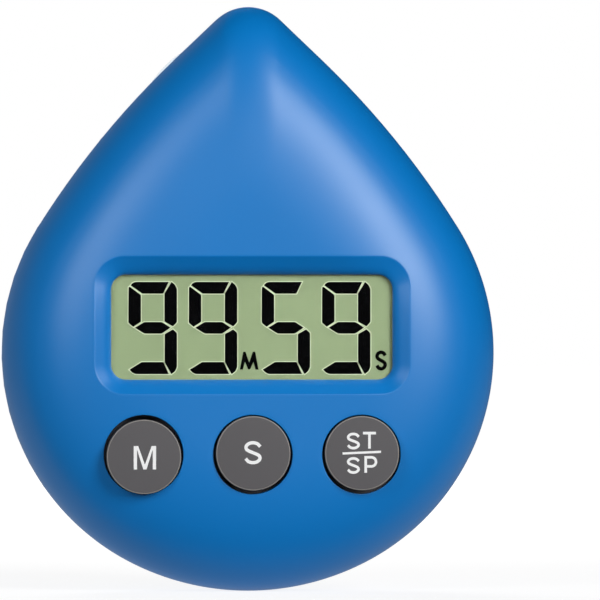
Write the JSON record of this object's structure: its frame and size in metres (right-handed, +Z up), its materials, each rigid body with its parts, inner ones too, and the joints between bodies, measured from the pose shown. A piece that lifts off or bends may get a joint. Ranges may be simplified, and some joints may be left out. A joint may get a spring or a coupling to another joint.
{
  "type": "digital kitchen timer",
  "caption": "Drop-shaped countdown timer with a liquid-crystal display, three push buttons, a hinged battery door, a magnet and a sliding suction cup on its flat back.",
  "frame": {"origin": "middle of the magnet's outer face, which lies 0.3 mm proud of the flat back", "axes": "+Z up towards the tip of the drop, +Y out of the back towards what the timer hangs on, +X to the right of someone reading the display"},
  "size_m": [0.075, 0.0318, 0.0889],
  "materials": {
    "blue_abs": "moulded, fine satin",
    "grey_abs": "moulded, fine texture",
    "clear_acrylic": "clear, polished",
    "display_glass": "clear, with a faint green cast",
    "reflector_film": "grey-green diffusing film",
    "zebra_rubber": "layered elastomer",
    "board_laminate": "solder mask over laminate",
    "chip_epoxy": "cast epoxy",
    "plated_steel": "nickel plated",
    "coil_ferrite": "sintered",
    "capacitor_body": "fired ceramic",
    "switch_silicone": "moulded silicone",
    "battery_sleeve": "shrink sleeve",
    "magnet_ferrite": "flexible ferrite, matt",
    "tape_foam": "foam adhesive pad",
    "buzzer_brass": "rolled sheet",
    "buzzer_ceramic": "fired ceramic with a silver face",
    "clear_pvc": "clear soft PVC",
    "lead_red": "PVC insulation",
    "lead_black": "PVC insulation"
  },
  "bodies": {
    "case": {"front_housing": "blue_abs", "rear_cover": "blue_abs", "display_lens": "clear_acrylic", "lcd_front_glass": "display_glass", "lcd_rear_glass": "display_glass", "lcd_reflector": "reflector_film", "zebra_strip": "zebra_rubber", "circuit_board": "board_laminate", "chip_epoxy": "chip_epoxy", "timing_crystal": "plated_steel", "buzzer_coil": "coil_ferrite", "capacitor": "capacitor_body", "minute_dome": "switch_silicone", "second_dome": "switch_silicone", "start_stop_dome": "switch_silicone", "case_screw_1": "plated_steel", "case_screw_2": "plated_steel", "case_screw_3": "plated_steel", "case_screw_4": "plated_steel", "board_screw_1": "plated_steel", "board_screw_2": "plated_steel", "board_screw_3": "plated_steel", "board_screw_4": "plated_steel", "aaa_battery": "battery_sleeve", "contact_plate_positive": "plated_steel", "contact_plate_negative": "plated_steel", "contact_spring": "plated_steel", "magnet": "magnet_ferrite", "magnet_tape": "tape_foam", "buzzer_disc": "buzzer_brass", "buzzer_ceramic": "buzzer_ceramic", "battery_wire_red": "lead_red", "battery_wire_black": "lead_black", "buzzer_wire_red": "lead_red", "buzzer_wire_black": "lead_black"},
    "minute_key": {"minute_button": "grey_abs"},
    "second_key": {"second_button": "grey_abs"},
    "start_stop_key": {"start_stop_button": "grey_abs"},
    "door": {"battery_door": "blue_abs"},
    "cup": {"suction_cup": "clear_pvc"}
  },
  "joints": [
    {"name": "minute_press", "type": "slide", "parent": "case", "child": "minute_key", "axis": [0, 1, 0], "range_m": [0, 0.0008], "stiffness_N_per_m": 600, "springref_m": -0.0005, "deforming": ["minute_dome"]},
    {"name": "second_press", "type": "slide", "parent": "case", "child": "second_key", "axis": [0, 1, 0], "range_m": [0, 0.0008], "stiffness_N_per_m": 600, "springref_m": -0.0005, "deforming": ["second_dome"]},
    {"name": "start_stop_press", "type": "slide", "parent": "case", "child": "start_stop_key", "axis": [0, 1, 0], "range_m": [0, 0.0008], "stiffness_N_per_m": 600, "springref_m": -0.0005, "deforming": ["start_stop_dome"]},
    {"name": "door_hinge", "type": "hinge", "parent": "case", "child": "door", "pos_m": [0, -0.0003, -0.0104], "axis": [1, 0, 0], "range_deg": [0, 80]},
    {"name": "cup_slide", "type": "slide", "parent": "case", "child": "cup", "axis": [0, 0, 1], "range_m": [0, 0.0106]}
  ]
}
